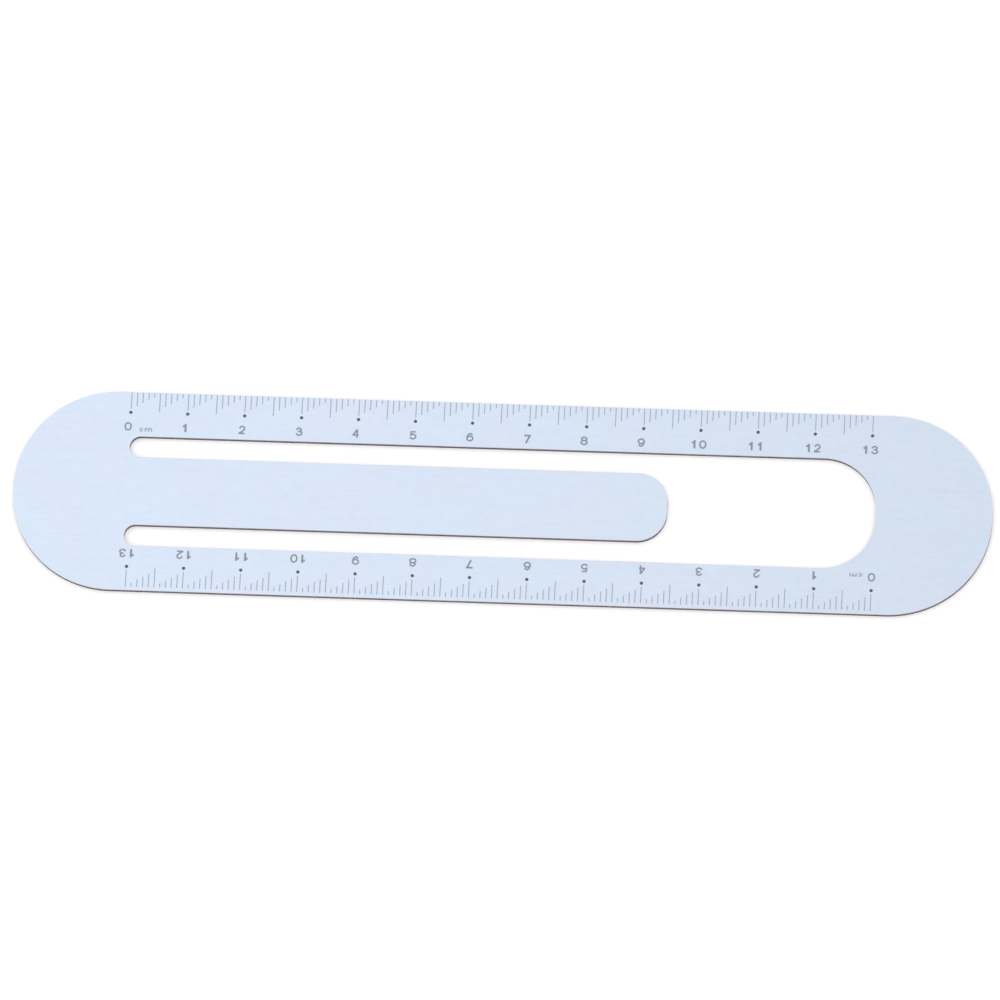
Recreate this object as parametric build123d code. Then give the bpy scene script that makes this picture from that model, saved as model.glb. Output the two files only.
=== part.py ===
# Clip-on sheet-metal ruler: one flat plate with rounded ends, a U-shaped cut-out that frees a
# spring tongue down the middle, and a centimetre scale printed along each outer edge.
# Millimetres. The origin is the middle of the underside, +X runs along the plate from the
# tongue's root to the open window, and +Z points out of the printed face.
import os
from build123d import *

# The sheet that the plate is stamped from
length = 171.2
width = 36.7
thickness = 1.0
end_flat = 0.9  # short straight stretch between the two corner arcs of each end
edge_break = 0.1  # the sheared edges are broken all round, on both faces

# The U-shaped cut-out and the tongue inside it
rail_width = 8.25  # from the outer edge to the cut-out
slot_width = 3.85  # beside the tongue, each side
root_web = 19.9  # solid end that carries the tongue
window_web = 20.4  # solid end past the window
window_end_flat = 1.6
tongue_length = 94.6
tongue_tip_flat = 2.0

# The printed scale: a row of ticks and dots along each outer edge, read from its own left end
division = 1.0
divisions_per_number = 10
row_shift = -0.5  # each row starts this far to the left of a centred row, read its own way
row_margin = 0.31  # bare metal between the broken edge and the ticks
print_x = -0.4  # the whole print lies this far off the plate's middle, along it
print_y = 0.25  # and this far off it, across
tick_line = 0.16
number_tick = 3.0
half_tick = 3.5
fine_tick = 2.45
fine_step = 0.57  # each fine tick is this much shorter than the one before it
dot_diameter = 0.6
dot_gap = 0.38  # between a number's tick and its dot
ink = 0.03

# Sizes that follow from the ones above
end_radius = (width - end_flat) / 2
cutout_half = width / 2 - rail_width
window_corner = cutout_half - window_end_flat / 2
tongue_half = cutout_half - slot_width
tip_corner = tongue_half - tongue_tip_flat / 2
root_x = root_web - length / 2
window_x = length / 2 - window_web
tip_x = root_x + tongue_length
straight_edge = length - 2 * end_radius
number_pitch = division * divisions_per_number
number_count = int(straight_edge // number_pitch)
row_start = row_shift - number_count * number_pitch / 2


def cutout_outline():
    # One closed loop: the upper half runs from the window's end along the rail, round the slot's
    # end and back along the tongue to its tip, and is then mirrored
    slot_end = root_x + slot_width / 2
    with BuildLine() as upper_half:
        window_end = Line((window_x, 0), (window_x, cutout_half - window_corner))
        rail_end = (window_x - window_corner, cutout_half)
        corner = TangentArc(window_end @ 1, rail_end, tangent=window_end % 1)
        rail = Line(corner @ 1, (slot_end, cutout_half))
        slot = TangentArc(rail @ 1, (slot_end, tongue_half), tangent=rail % 1)
        flank = Line(slot @ 1, (tip_x - tip_corner, tongue_half))
        tip = TangentArc(flank @ 1, (tip_x, tongue_half - tip_corner), tangent=flank % 1)
        Line(tip @ 1, (tip_x, 0))
        mirror(about=Plane.XZ)
    return upper_half.line


def ruler_plate():
    with BuildPart() as plate:
        with BuildSketch():
            RectangleRounded(length, width, end_radius)
            with BuildSketch(mode=Mode.PRIVATE) as cutout:
                make_face(cutout_outline().edges())
            add(cutout.sketch, mode=Mode.SUBTRACT)
        extrude(amount=thickness)
        broad_faces = plate.faces().filter_by(Axis.Z)
        chamfer(broad_faces.edges(), edge_break)
    return plate.part


def tick_length(step):
    # Ticks shorten from each number to its half, and again from the half to the next number
    half = divisions_per_number // 2
    if step % divisions_per_number == 0:
        return number_tick
    if step % half == 0:
        return half_tick
    return fine_tick - fine_step * (step % half - 1)


def printed_row():
    # The row along the +Y edge, each mark a flat patch of ink on the plate's face
    base = width / 2 - edge_break - row_margin
    patches = []
    for step in range(number_count * divisions_per_number + 1):
        x = row_start + step * division
        reach = tick_length(step)
        patches.append(Pos(x, base - reach / 2) * Rectangle(tick_line, reach))
        if step % divisions_per_number == 0:
            dot_y = base - number_tick - dot_gap - dot_diameter / 2
            patches.append(Pos(x, dot_y) * Circle(dot_diameter / 2))
    return [Pos(0, 0, thickness) * extrude(patch, ink) for patch in patches]


def scale_marks():
    # The row along the other edge is the same print turned half round
    upper = printed_row()
    lower = [Rot(0, 0, 180) * mark for mark in upper]
    return Compound([Pos(print_x, print_y) * mark for mark in upper + lower])


os.makedirs("parts", exist_ok=True)
export_step(ruler_plate(), "parts/ruler_plate.step")
export_step(scale_marks(), "parts/scale_marks.step")
print("numbers on each scale: 0 to", number_count)
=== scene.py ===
# A clip-on sheet-metal ruler, dressed and lit for the studio. Metres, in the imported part's own
# frame: +X runs from the tongue's root to the open window, +Z points out of the printed face.
import bpy
import math
from mathutils import Matrix, Vector


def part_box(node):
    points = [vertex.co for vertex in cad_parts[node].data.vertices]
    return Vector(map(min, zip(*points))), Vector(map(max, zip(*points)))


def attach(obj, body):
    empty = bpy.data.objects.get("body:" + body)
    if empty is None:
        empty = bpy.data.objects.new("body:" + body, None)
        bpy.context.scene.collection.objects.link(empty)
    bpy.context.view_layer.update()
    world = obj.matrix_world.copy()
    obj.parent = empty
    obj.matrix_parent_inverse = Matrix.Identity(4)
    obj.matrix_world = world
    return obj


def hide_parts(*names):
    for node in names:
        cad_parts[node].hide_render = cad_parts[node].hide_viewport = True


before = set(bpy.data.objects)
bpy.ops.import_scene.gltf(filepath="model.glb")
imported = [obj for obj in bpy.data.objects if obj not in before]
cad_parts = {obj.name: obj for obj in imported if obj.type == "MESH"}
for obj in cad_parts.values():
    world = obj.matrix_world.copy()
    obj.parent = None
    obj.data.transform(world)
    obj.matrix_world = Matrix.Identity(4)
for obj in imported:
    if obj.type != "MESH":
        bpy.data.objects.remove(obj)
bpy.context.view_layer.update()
plateLow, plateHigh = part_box("ruler_plate")
marksLow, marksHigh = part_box("scale_marks")
mm = 0.001
weldReach = 0.0001 * mm  # points closer than this are one point
print("frame loaded:", sorted(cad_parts))


# Camera

view = {
    "tilt": 19.58,  # degrees off the straight view down on the printed face
    "swing": 11.9,  # degrees round from -Y towards +X
    "roll": 3.22,  # degrees that the ruler is turned in the picture
    "distance": 2.381,
    "pixelsPerMm": 5.7334,  # at the middle of the printed face
    "middlePixel": (501.8, 502.6),  # where that middle falls in the picture
    "picture": 1000,
    "sensor": 36.0,
}


def makeCamera():
    tilt = math.radians(view["tilt"])
    swing = math.radians(view["swing"])
    roll = math.radians(view["roll"])
    back = Vector((math.sin(tilt) * math.sin(swing), -math.sin(tilt) * math.cos(swing), math.cos(tilt)))
    upright = (Vector((0, 1, 0)) - back * back.y).normalized()
    across = upright.cross(back)
    right = across * math.cos(roll) + upright * math.sin(roll)
    up = upright * math.cos(roll) - across * math.sin(roll)
    pixel = mm / view["pixelsPerMm"]
    half = view["picture"] / 2
    column, row = view["middlePixel"]
    middle = Vector((0, 0, plateHigh.z))
    aim = middle + right * (half - column) * pixel + up * (row - half) * pixel
    data = bpy.data.cameras.new("camera")
    data.sensor_width = view["sensor"]
    data.lens = view["distance"] / (pixel * view["picture"]) * view["sensor"]
    camera = bpy.data.objects.new("camera", data)
    bpy.context.scene.collection.objects.link(camera)
    turn = Matrix((right, up, back)).transposed()
    camera.matrix_world = Matrix.Translation(aim + back * view["distance"]) @ turn.to_4x4()
    bpy.context.scene.camera = camera


makeCamera()
print("camera placed")


# Selecting and joining

def pickOnly(piece):
    bpy.ops.object.select_all(action="DESELECT")
    piece.select_set(True)
    bpy.context.view_layer.objects.active = piece


def editOnly(piece):
    # Into edit mode, to pick edges, with nothing selected
    pickOnly(piece)
    bpy.ops.object.mode_set(mode="EDIT")
    bpy.ops.mesh.select_mode(type="EDGE")
    bpy.ops.mesh.select_all(action="DESELECT")


def weldAll():
    # In edit mode, leaves the whole mesh selected
    bpy.ops.mesh.select_all(action="SELECT")
    bpy.ops.mesh.remove_doubles(threshold=weldReach)


def applyModifier(piece, kind, **settings):
    pickOnly(piece)
    bpy.ops.object.modifier_add(type=kind)
    modifier = piece.modifiers[-1]
    for name, value in settings.items():
        setattr(modifier, name, value)
    bpy.ops.object.modifier_apply(modifier=modifier.name)


def joinAs(name, pieces):
    pickOnly(pieces[0])
    for piece in pieces:
        piece.select_set(True)
    bpy.ops.object.join()
    pieces[0].name = name
    return pieces[0]


# Materials

def startMaterial(name):
    material = bpy.data.materials.new(name)
    material.use_nodes = True
    tree = material.node_tree
    return material, tree, tree.nodes["Principled BSDF"]


def placeOn(tree):
    return tree.nodes.new("ShaderNodeTexCoord").outputs


def feed(tree, socket, value):
    if isinstance(value, bpy.types.NodeSocket):
        tree.links.new(value, socket)
    elif isinstance(value, tuple):
        socket.default_value = (*value, 1)
    else:
        socket.default_value = value


def mathNode(tree, operation, *values):
    node = tree.nodes.new("ShaderNodeMath")
    node.operation = operation
    for socket, value in zip(node.inputs, values):
        feed(tree, socket, value)
    return node.outputs[0]


def mixColours(tree, factor, first, second):
    node = tree.nodes.new("ShaderNodeMix")
    node.data_type = "RGBA"
    for socket, value in zip((node.inputs[0], node.inputs[6], node.inputs[7]), (factor, first, second)):
        feed(tree, socket, value)
    return node.outputs[2]


def fadeBetween(tree, value, low, high):
    # 0 below the first value, 1 above the second, and smooth between them
    node = tree.nodes.new("ShaderNodeMapRange")
    node.interpolation_type = "SMOOTHSTEP"
    for name, setting in (("Value", value), ("From Min", low), ("From Max", high)):
        feed(tree, node.inputs[name], setting)
    return node.outputs[0]


def stretchedNoise(tree, where, stretch, detail):
    # Noise with this many cells a metre along X, Y and Z
    mapping = tree.nodes.new("ShaderNodeMapping")
    mapping.inputs["Scale"].default_value = stretch
    tree.links.new(where["Object"], mapping.inputs["Vector"])
    noise = tree.nodes.new("ShaderNodeTexNoise")
    noise.inputs["Scale"].default_value = 1
    noise.inputs["Detail"].default_value = detail
    tree.links.new(mapping.outputs["Vector"], noise.inputs["Vector"])
    return noise.outputs["Fac"]


def shadeBy(tree, colour, pattern, depth):
    # The pattern's middle leaves the colour as it is, its ends darken and lighten it
    node = tree.nodes.new("ShaderNodeVectorMath")
    node.operation = "SCALE"
    feed(tree, node.inputs[0], colour)
    feed(tree, node.inputs["Scale"], mathNode(tree, "MULTIPLY_ADD", pattern, 2 * depth, 1 - depth))
    return node.outputs[0]


def splitAxes(tree, vector):
    node = tree.nodes.new("ShaderNodeSeparateXYZ")
    tree.links.new(vector, node.inputs[0])
    return node.outputs


def addBump(tree, shader, height, strength, distance):
    bump = tree.nodes.new("ShaderNodeBump")
    bump.inputs["Strength"].default_value = strength
    bump.inputs["Distance"].default_value = distance
    tree.links.new(height, bump.inputs["Height"])
    tree.links.new(bump.outputs["Normal"], shader.inputs["Normal"])


satin = {
    "blue": (0.668, 0.755, 0.861),
    "lavender": (0.682, 0.743, 0.851),
    "rubbedAndPaintedHighlight": (0.850, 0.885, 0.935),  # the rounded edges, lighter from finish worn thin and from a painted highlight
    "rimFrom": 0.985,  # upward part of the surface's normal where the rounding starts
    "rimFull": 0.90,
    "roughness": 0.42,
    "roughnessSpread": 0.08,
    "cloud": (90, 130, 90),  # faint clouds in the colour, 8 to 11 mm long
    "cloudFade": (0.35, 0.65),
    "hairline": (45, 3200, 45),  # hairlines along the plate
    "grain": (5200, 5200, 5200),
    "hairlineShade": 0.05,
    "mottle": (650, 900, 650),  # spots of a millimetre or so
    "mottleShade": 0.035,
    "relief": 0.008 * mm,
    "reliefStrength": 0.3,
}


def satinMetal():
    material, tree, shader = startMaterial("satin_metal")
    where = placeOn(tree)
    cloud = fadeBetween(tree, stretchedNoise(tree, where, satin["cloud"], 3), *satin["cloudFade"])
    face = mixColours(tree, cloud, satin["blue"], satin["lavender"])
    hairline = stretchedNoise(tree, where, satin["hairline"], 4)
    grain = stretchedNoise(tree, where, satin["grain"], 2)
    # The rounded rims are lighter: worn-thin finish plus a painted highlight
    upward = mathNode(tree, "ABSOLUTE", splitAxes(tree, where["Normal"])["Z"])
    isFlat = fadeBetween(tree, upward, satin["rimFull"], satin["rimFrom"])
    skin = mixColours(tree, isFlat, satin["rubbedAndPaintedHighlight"], face)
    lined = shadeBy(tree, skin, hairline, satin["hairlineShade"])
    mottle = stretchedNoise(tree, where, satin["mottle"], 2)
    feed(tree, shader.inputs["Base Color"], shadeBy(tree, lined, mottle, satin["mottleShade"]))
    shader.inputs["Metallic"].default_value = 1
    spread = satin["roughnessSpread"]
    rough = mathNode(tree, "MULTIPLY_ADD", hairline, spread, satin["roughness"] - spread / 2)
    feed(tree, shader.inputs["Roughness"], rough)
    texture = mathNode(tree, "ADD", hairline, grain)
    addBump(tree, shader, texture, satin["reliefStrength"], satin["relief"])
    return material


# The sheared wall: burnished and torn bands with striations, their colours darkened with painted shade
sheared = {
    "burnishedWithPaintedShade": (0.24, 0.19, 0.216),
    "tornWithPaintedShade": (0.086, 0.06, 0.074),
    "burnishedShare": 0.4,  # of the wall's height, from the printed face down
    "wander": (450, 450, 450),  # how the line between the two wanders along the wall
    "wanderShare": 0.4,
    "lineSoftness": 0.06,  # half the fade between the two, as a share of the height
    "striation": (2600, 2600, 240),  # punch marks that run from face to face
    "striationShade": 0.45,
    "tornRoughness": 0.65,
    "burnishedRoughness": 0.4,
    "gloss": 0.3,
    "relief": 0.02 * mm,
    "reliefStrength": 0.5,
}


def shearedEdge():
    material, tree, shader = startMaterial("sheared_edge_with_painted_shade")
    where = placeOn(tree)
    height = plateHigh.z - plateLow.z
    line = plateHigh.z - sheared["burnishedShare"] * height
    wander = stretchedNoise(tree, where, sheared["wander"], 2)
    upward = splitAxes(tree, where["Object"])["Z"]
    level = mathNode(tree, "MULTIPLY_ADD", wander, sheared["wanderShare"] * height, upward)
    middle = line + sheared["wanderShare"] * height / 2
    soft = sheared["lineSoftness"] * height
    isBurnished = fadeBetween(tree, level, middle - soft, middle + soft)
    striation = stretchedNoise(tree, where, sheared["striation"], 3)
    skin = mixColours(tree, isBurnished, sheared["tornWithPaintedShade"], sheared["burnishedWithPaintedShade"])
    # The wall's dark colours are painted shade over its burnished and torn bands
    feed(tree, shader.inputs["Base Color"], shadeBy(tree, skin, striation, sheared["striationShade"]))
    smoother = sheared["burnishedRoughness"] - sheared["tornRoughness"]
    rough = mathNode(tree, "MULTIPLY_ADD", isBurnished, smoother, sheared["tornRoughness"])
    feed(tree, shader.inputs["Roughness"], rough)
    shader.inputs["Specular IOR Level"].default_value = sheared["gloss"]
    addBump(tree, shader, striation, sheared["reliefStrength"], sheared["relief"])
    return material


ink = {
    "tick": (0.355, 0.355, 0.405),
    "dot": (0.09, 0.1, 0.125),
    "number": (0.25, 0.262, 0.295),
    "unit": (0.31, 0.37, 0.385),
    "thin": 1.3,  # how much lighter the thin spots of the print are
    "grain": (3800, 3800, 3800),
    "topFrom": 0.3,  # upward part of the normal above which a face is the film's top
    "roughness": 0.6,
    "gloss": 0.3,
}


def printInk(name, colour, accent=None, accentPlace=None):
    # An ink, with a second colour where accentPlace says so
    material, tree, shader = startMaterial(name)
    where = placeOn(tree)
    grain = stretchedNoise(tree, where, ink["grain"], 2)

    def withThinSpots(solid):
        thin = tuple(channel * ink["thin"] for channel in solid)
        return mixColours(tree, grain, solid, thin)

    skin = withThinSpots(colour)
    if accent:
        skin = mixColours(tree, accentPlace(tree, where), skin, withThinSpots(accent))
    # The film's edges are thicker here than real ink, so they take the plate's colour
    isTop = mathNode(tree, "GREATER_THAN", splitAxes(tree, where["Normal"])["Z"], ink["topFrom"])
    feed(tree, shader.inputs["Base Color"], mixColours(tree, isTop, satin["blue"], skin))
    shader.inputs["Roughness"].default_value = ink["roughness"]
    shader.inputs["Specular IOR Level"].default_value = ink["gloss"]
    return material


# Plate

plate = {
    "endFlat": 0.9 * mm,  # between the two corner arcs of each end
    "railWidth": 8.25 * mm,
    "slotWidth": 3.85 * mm,
    "rootWeb": 19.9 * mm,  # the solid end that carries the tongue
    "windowWeb": 20.4 * mm,  # the solid end past the window
    "windowEndFlat": 1.6 * mm,
    "tongueLength": 94.6 * mm,
    "tongueTipFlat": 2.0 * mm,
    "edgeBreak": 0.1 * mm,
    "edgeSegments": 3,
    "sharpAngle": 60,  # degrees between two faces from which their edge gets rounded
    "smoothAngle": 40,  # degrees up to which the shading runs smoothly over an edge
    "wallFrom": -0.99,  # a face whose normal points up by more than this and by less than wallTo is bare sheared wall, dark with painted shade: all but the underside, the top and most of its rounding
    "wallTo": 0.4,  # bare sheared wall: all but the underside, the top and most of its rounding
    "largeArc": 40,  # segments in a quarter turn
    "smallArc": 16,
    "cornerReach": 0.01 * mm,  # how close an upright edge stands to the corner that it belongs to
    "overcut": 1 * mm,
}


def addSlab(name, low, high):
    bpy.ops.object.select_all(action="DESELECT")
    bpy.ops.mesh.primitive_cube_add(size=1, location=(low + high) / 2, scale=high - low)
    bpy.ops.object.transform_apply(location=True, rotation=True, scale=True)
    slab = bpy.context.object
    slab.name = name
    return slab


def roundCorners(slab, corners, radius, segments):
    # Upright edges that stand at these places in plan become arcs
    editOnly(slab)
    bpy.ops.object.mode_set(mode="OBJECT")
    for edge in slab.data.edges:
        first, second = [slab.data.vertices[index].co for index in edge.vertices]
        upright = abs(first.z - second.z) > plate["edgeBreak"]
        nearest = min((first.xy - Vector(corner)).length for corner in corners)
        edge.select = upright and nearest < plate["cornerReach"]
    bpy.ops.object.mode_set(mode="EDIT")
    bpy.ops.mesh.bevel(offset=radius, segments=segments, affect="EDGES", clamp_overlap=False)
    weldAll()
    bpy.ops.object.mode_set(mode="OBJECT")


def cutAway(piece, tool):
    applyModifier(piece, "BOOLEAN", operation="DIFFERENCE", solver="EXACT", object=tool)
    bpy.data.objects.remove(tool)


def makePlate():
    endRadius = (plateHigh.y - plateLow.y - plate["endFlat"]) / 2
    cutHalf = plateHigh.y - plate["railWidth"]
    tongueHalf = cutHalf - plate["slotWidth"]
    rootX = plateLow.x + plate["rootWeb"]
    windowX = plateHigh.x - plate["windowWeb"]
    tipX = rootX + plate["tongueLength"]
    over = plate["overcut"]

    # The cut-out: a slab as wide as the window, less the tongue
    cutter = addSlab("cut_out", Vector((rootX, -cutHalf, plateLow.z - over)),
                     Vector((windowX, cutHalf, plateHigh.z + over)))
    tongue = addSlab("tongue", Vector((rootX - over, -tongueHalf, plateLow.z - 2 * over)),
                     Vector((tipX, tongueHalf, plateHigh.z + 2 * over)))
    cutAway(cutter, tongue)
    slotCorners = [(rootX, side * y) for side in (-1, 1) for y in (cutHalf, tongueHalf)]
    roundCorners(cutter, slotCorners, plate["slotWidth"] / 2, plate["smallArc"])
    windowCorners = [(windowX, side * cutHalf) for side in (-1, 1)]
    roundCorners(cutter, windowCorners, cutHalf - plate["windowEndFlat"] / 2, plate["largeArc"])
    tipCorners = [(tipX, side * tongueHalf) for side in (-1, 1)]
    roundCorners(cutter, tipCorners, tongueHalf - plate["tongueTipFlat"] / 2, plate["largeArc"])

    sheet = addSlab("satin_plate", plateLow, plateHigh)
    outerCorners = [(x, y) for x in (plateLow.x, plateHigh.x) for y in (plateLow.y, plateHigh.y)]
    roundCorners(sheet, outerCorners, endRadius, plate["largeArc"])
    cutAway(sheet, cutter)

    # The sharp rims of both faces are rounded
    editOnly(sheet)
    weldAll()
    bpy.ops.mesh.select_all(action="DESELECT")
    bpy.ops.mesh.edges_select_sharp(sharpness=math.radians(plate["sharpAngle"]))
    bpy.ops.mesh.bevel(offset=plate["edgeBreak"], segments=plate["edgeSegments"], affect="EDGES",
                       clamp_overlap=False)
    bpy.ops.object.mode_set(mode="OBJECT")
    pickOnly(sheet)
    bpy.ops.object.shade_smooth_by_angle(angle=math.radians(plate["smoothAngle"]))
    applyModifier(sheet, "WEIGHTED_NORMAL", keep_sharp=True)
    return sheet


def finishPlate(sheet):
    sheet.data.materials.append(satinMetal())
    sheet.data.materials.append(shearedEdge())
    # Walls take the sheared edge's material, dark with painted shade
    for face in sheet.data.polygons:
        isWall = plate["wallFrom"] < face.normal.z < plate["wallTo"]
        face.material_index = 1 if isWall else 0


satinPlate = makePlate()
finishPlate(satinPlate)
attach(satinPlate, "root")
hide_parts("ruler_plate")
print("plate modelled")


# Scale

scale = {
    "pitch": 10 * mm,  # from one dot to the next
    "dotNear": 1 * mm,  # all dots lie this close to the columns halfway between the two rows' dots
    "dotRow": 14.75 * mm,  # and in those columns only the dots are nearer to the print's middle line
}
marksMiddle = (marksLow + marksHigh) / 2


def isDot(tree, where):
    place = splitAxes(tree, where["Object"])
    along = mathNode(tree, "SUBTRACT", place["X"], marksMiddle.x + scale["pitch"] / 2)
    column = mathNode(tree, "PINGPONG", along, scale["pitch"] / 2)
    row = mathNode(tree, "ABSOLUTE", mathNode(tree, "SUBTRACT", place["Y"], marksMiddle.y))
    inColumn = mathNode(tree, "LESS_THAN", column, scale["dotNear"])
    return mathNode(tree, "MULTIPLY", inColumn, mathNode(tree, "LESS_THAN", row, scale["dotRow"]))


scaleInk = printInk("scale_ink", ink["tick"], ink["dot"], isDot)
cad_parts["scale_marks"].material_slots[0].material = scaleInk
print("scale printed")


# Numbers and unit

lettering = {
    "lastNumber": 13,
    "upperZero": (-66.22 * mm, 11.91 * mm),  # the middle of each row's zero
    "lowerZero": (65.05 * mm, -11.55 * mm),
    "digitHeight": 1.58 * mm,
    "digitWidth": 1.3 * mm,
    "digitPitch": 1.55 * mm,
    "upperUnit": (-63.1 * mm, 11.36 * mm),  # the middle of each row's unit
    "lowerUnit": (62.29 * mm, -11.18 * mm),
    "unitHeight": 0.72 * mm,
    "unitWidths": {"c": 0.72 * mm, "m": 1.3 * mm},
    "unitGap": 0.2 * mm,
    "digitStroke": 0.28 * mm,
    "heavyStrokes": {"1": 0.36 * mm, "7": 0.32 * mm},  # digits that are printed bolder
    "unitStroke": 0.22 * mm,
    "film": marksHigh.z - marksLow.z,  # as thick as the scale's
    "curveSteps": 8,  # from each point of a curve to the next
    "flatAngle": 1,  # degrees under which two faces become one
}

# Each character's strokes in a box one wide and one high: a line has corners, a curve and a ring
# run smoothly through their points
strokes = {
    "0": [("ring", (0, 0.5), (0.5, 1), (1, 0.5), (0.5, 0))],
    "1": [("line", (0.6, -0.12), (0.6, 1.12)), ("curve", (0.6, 1), (0.42, 0.83), (0.1, 0.7))],
    "2": [("curve", (0.04, 0.7), (0.5, 1), (0.94, 0.7), (0.62, 0.36), (0.02, 0)),
          ("line", (-0.07, 0), (1, 0))],
    "3": [("curve", (0.05, 0.77), (0.48, 1), (0.9, 0.77), (0.62, 0.55), (0.34, 0.54)),
          ("curve", (0.34, 0.54), (0.68, 0.53), (1, 0.28), (0.48, 0), (0, 0.23))],
    "4": [("line", (0.72, -0.12), (0.72, 1.12)), ("line", (0.68, 1.03), (0, 0.28)),
          ("line", (-0.06, 0.28), (1, 0.28))],
    "5": [("line", (0.94, 1), (0.2, 1), (0.11, 0.46)),
          ("curve", (0.11, 0.5), (0.5, 0.64), (1, 0.33), (0.48, 0), (0, 0.22))],
    "6": [("ring", (0, 0.32), (0.5, 0.64), (1, 0.32), (0.5, 0)),
          ("curve", (0.93, 0.8), (0.54, 1), (0.13, 0.76), (0, 0.34))],
    "7": [("line", (0, 1), (1, 1), (0.33, -0.12))],
    "8": [("ring", (0.08, 0.77), (0.5, 1), (0.92, 0.77), (0.5, 0.54)),
          ("ring", (0, 0.27), (0.5, 0.54), (1, 0.27), (0.5, 0))],
    "9": [("ring", (0, 0.68), (0.5, 1), (1, 0.68), (0.5, 0.36)),
          ("curve", (0.07, 0.2), (0.46, 0), (0.87, 0.24), (1, 0.66))],
    "c": [("curve", (0.95, 0.8), (0.5, 1), (0, 0.5), (0.5, 0), (0.97, 0.22))],
    "m": [("line", (0, -0.15), (0, 1.15)), ("curve", (0, 0.6), (0.26, 1), (0.5, 0.66), (0.5, -0.15)),
          ("curve", (0.5, 0.6), (0.76, 1), (1, 0.66), (1, -0.15))],
}


def makeNib(stroke):
    # The flat section that a stroke is drawn with
    data = bpy.data.curves.new("nib", "CURVE")
    data.dimensions = "2D"
    data.fill_mode = "NONE"
    spline = data.splines.new("POLY")
    spline.points.add(3)
    for point, (x, z) in zip(spline.points, ((-0.5, -0.5), (0.5, -0.5), (0.5, 0.5), (-0.5, 0.5))):
        point.co = (x * stroke, z * lettering["film"], 0, 1)
    spline.use_cyclic_u = True
    nib = bpy.data.objects.new("nib", data)
    bpy.context.scene.collection.objects.link(nib)
    return nib


def drawCharacter(character, width, height, stroke):
    nib = makeNib(stroke)
    data = bpy.data.curves.new(character, "CURVE")
    data.dimensions = "2D"
    data.fill_mode = "NONE"
    data.resolution_u = lettering["curveSteps"]
    data.bevel_mode = "OBJECT"
    data.bevel_object = nib
    data.use_fill_caps = True
    for kind, *points in strokes[character]:
        spline = data.splines.new("BEZIER")
        spline.bezier_points.add(len(points) - 1)
        spline.use_cyclic_u = kind == "ring"
        for point, (x, y) in zip(spline.bezier_points, points):
            point.co = ((x - 0.5) * (width - stroke), (y - 0.5) * (height - stroke), 0)
            point.handle_left_type = point.handle_right_type = "VECTOR" if kind == "line" else "AUTO"
    drawn = bpy.data.objects.new("drawn_" + character, data)
    bpy.context.scene.collection.objects.link(drawn)
    pickOnly(drawn)
    bpy.ops.object.convert(target="MESH")
    bpy.data.objects.remove(nib)
    drawn = bpy.context.object
    bpy.ops.object.shade_flat()
    bpy.ops.object.mode_set(mode="EDIT")
    weldAll()
    bpy.ops.mesh.normals_make_consistent(inside=False)
    if len(strokes[character]) > 1:
        bpy.ops.mesh.intersect_boolean(operation="UNION", use_self=True, solver="EXACT")
        weldAll()
    bpy.ops.mesh.dissolve_limited(angle_limit=math.radians(lettering["flatAngle"]))
    bpy.ops.mesh.select_all(action="SELECT")
    bpy.ops.mesh.delete_loose()
    bpy.ops.object.mode_set(mode="OBJECT")
    return drawn


def stamp(drawn, x, y):
    copy = drawn.copy()
    copy.data = drawn.data.copy()
    bpy.context.scene.collection.objects.link(copy)
    copy.data.transform(Matrix.Translation((x, y, marksLow.z + lettering["film"] / 2)))
    return copy


def turnedCopy(name, upper, upperPlace, lowerPlace):
    # The lower row is the upper one turned half round in the plate's plane
    lower = upper.copy()
    lower.data = upper.data.copy()
    lower.name = name
    bpy.context.scene.collection.objects.link(lower)
    shift = Matrix.Translation(Vector((*upperPlace, 0)) + Vector((*lowerPlace, 0)))
    lower.data.transform(shift @ Matrix.Rotation(math.pi, 4, "Z"))
    return lower


def makeNumbers():
    digits = {}
    for digit in "0123456789":
        stroke = lettering["heavyStrokes"].get(digit, lettering["digitStroke"])
        digits[digit] = drawCharacter(digit, lettering["digitWidth"], lettering["digitHeight"], stroke)
    stamped = []
    zeroX, zeroY = lettering["upperZero"]
    for number in range(lettering["lastNumber"] + 1):
        words = str(number)
        for place, digit in enumerate(words):
            x = zeroX + number * scale["pitch"] + (place - (len(words) - 1) / 2) * lettering["digitPitch"]
            stamped.append(stamp(digits[digit], x, zeroY))
    for drawn in digits.values():
        bpy.data.objects.remove(drawn)
    return joinAs("upper_numbers", stamped)


def makeUnit():
    widths = lettering["unitWidths"]
    total = sum(widths.values()) + lettering["unitGap"] * (len(widths) - 1)
    x, y = lettering["upperUnit"]
    x -= total / 2
    stamped = []
    for letter, width in widths.items():
        drawn = drawCharacter(letter, width, lettering["unitHeight"], lettering["unitStroke"])
        stamped.append(stamp(drawn, x + width / 2, y))
        bpy.data.objects.remove(drawn)
        x += width + lettering["unitGap"]
    return joinAs("upper_unit", stamped)


printed = {"numbers": (makeNumbers(), "Zero", "number"), "unit": (makeUnit(), "Unit", "unit")}
for name, (upper, place, inkName) in printed.items():
    upper.data.materials.append(printInk(inkName + "_ink", ink[inkName]))
    lower = turnedCopy("lower_" + name, upper, lettering["upper" + place], lettering["lower" + place])
    for piece in (upper, lower):
        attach(piece, "root")
print("numbers and unit printed")


# Studio

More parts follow.
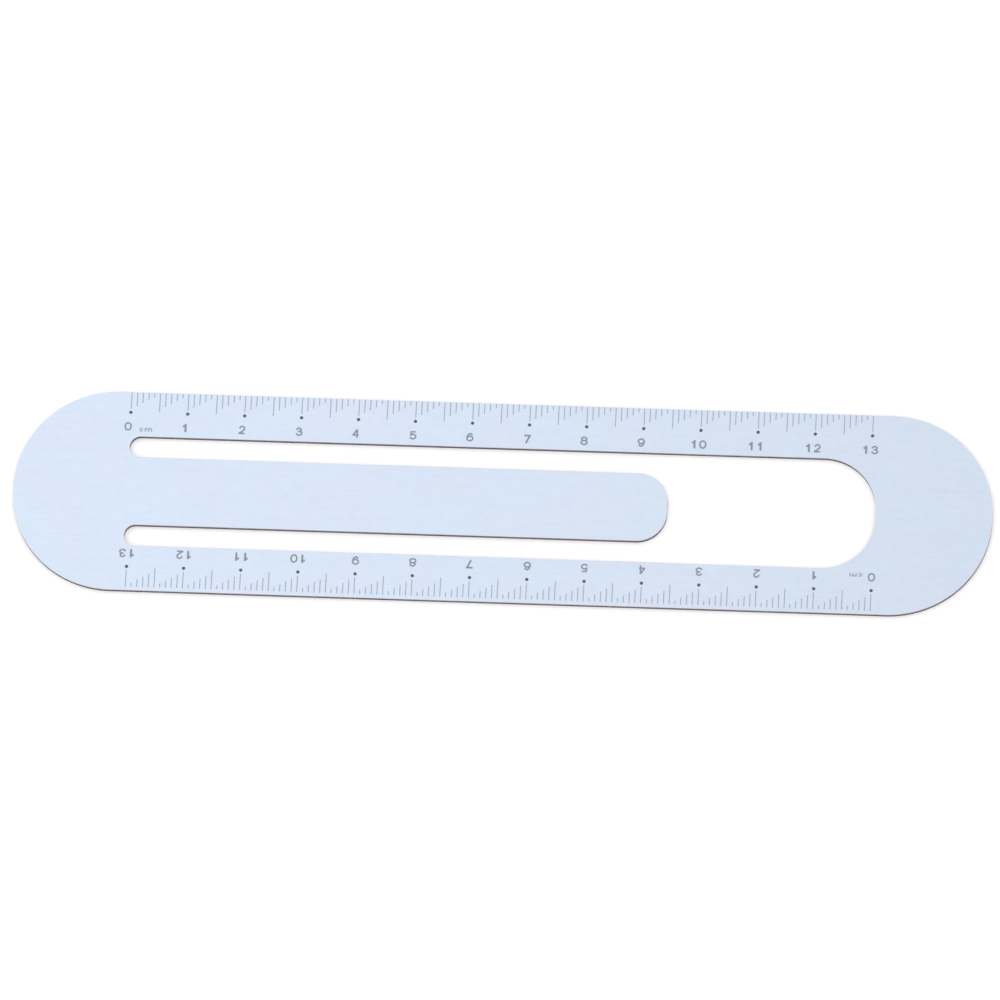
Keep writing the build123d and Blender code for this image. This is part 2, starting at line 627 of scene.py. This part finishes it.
studio = {
    "floorSize": 6.0,
    "floorGap": 0.02 * mm,  # keeps the paper just clear of the plate's underside
    "floorWhite": 0.9,
    "floorRoughness": 0.9,
    "floorGlow": 0.3,  # what the camera and reflections see on top of the light that falls on it
    "worldStrength": 0.92,
    "softboxSize": 0.5,
    "softboxPower": 0.245,
    "softboxColour": (0.73, 0.83, 1.0),
    "softboxPlace": (-0.22, 0.17, 0.5),
}


def makeFloor():
    bpy.ops.object.select_all(action="DESELECT")
    bpy.ops.mesh.primitive_plane_add(size=studio["floorSize"], location=(0, 0, -studio["floorGap"]))
    floor = bpy.context.object
    floor.name = "floor"
    material, tree, shader = startMaterial("floor_paper")
    shader.inputs["Base Color"].default_value = (studio["floorWhite"],) * 3 + (1,)
    shader.inputs["Roughness"].default_value = studio["floorRoughness"]
    shader.inputs["Specular IOR Level"].default_value = 0
    path = tree.nodes.new("ShaderNodeLightPath")
    seen = mathNode(tree, "MAXIMUM", path.outputs["Is Camera Ray"], path.outputs["Is Glossy Ray"])
    shader.inputs["Emission Color"].default_value = (1, 1, 1, 1)
    feed(tree, shader.inputs["Emission Strength"], mathNode(tree, "MULTIPLY", seen, studio["floorGlow"]))
    floor.data.materials.append(material)


def makeWorld():
    # White to the camera, and a little less bright to everything else
    world = bpy.data.worlds.new("studio")
    world.use_nodes = True
    tree = world.node_tree
    sky = tree.nodes["Background"]
    sky.inputs["Color"].default_value = (1, 1, 1, 1)
    path = tree.nodes.new("ShaderNodeLightPath")
    strength = studio["worldStrength"]
    seen = mathNode(tree, "MULTIPLY_ADD", path.outputs["Is Camera Ray"], 1 - strength, strength)
    tree.links.new(seen, sky.inputs["Strength"])
    bpy.context.scene.world = world


def makeSoftbox():
    data = bpy.data.lights.new("softbox", "AREA")
    data.shape = "SQUARE"
    data.size = studio["softboxSize"]
    data.energy = studio["softboxPower"]
    data.color = studio["softboxColour"]
    softbox = bpy.data.objects.new("softbox", data)
    softbox.location = studio["softboxPlace"]
    bpy.context.scene.collection.objects.link(softbox)


makeFloor()
makeWorld()
makeSoftbox()
bpy.context.scene.view_settings.view_transform = "Standard"
print("studio lit")
